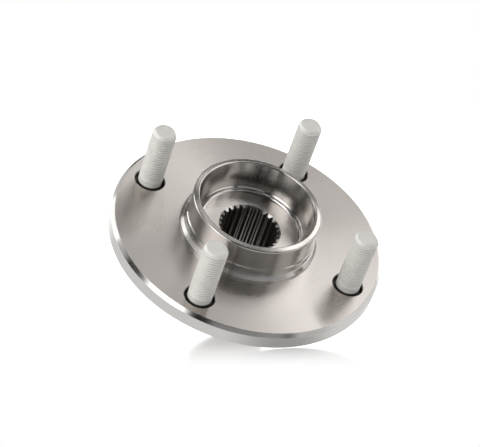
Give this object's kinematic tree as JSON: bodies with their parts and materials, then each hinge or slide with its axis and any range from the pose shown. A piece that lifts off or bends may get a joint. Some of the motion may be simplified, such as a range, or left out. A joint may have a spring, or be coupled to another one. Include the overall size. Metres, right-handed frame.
{
  "type": "wheel hub",
  "caption": "Flanged wheel hub with pressed-in wheel studs, a register spigot around a nut recess, and a splined barrel that carries the wheel bearing.",
  "frame": {"origin": "on the hub's axis, in the plane of the wheel face", "axes": "+Z along the hub's axis towards the wheel side, +X through the first wheel stud"},
  "size_m": [0.1334, 0.1334, 0.082],
  "materials": {
    "hub_steel": "turned bright steel, lightly oiled",
    "stud_zinc": "matt light-grey zinc-flake coating on steel"
  },
  "bodies": {
    "root": {"hub": "hub_steel", "wheel_stud_1": "stud_zinc", "wheel_stud_2": "stud_zinc", "wheel_stud_3": "stud_zinc", "wheel_stud_4": "stud_zinc"}
  },
  "joints": []
}
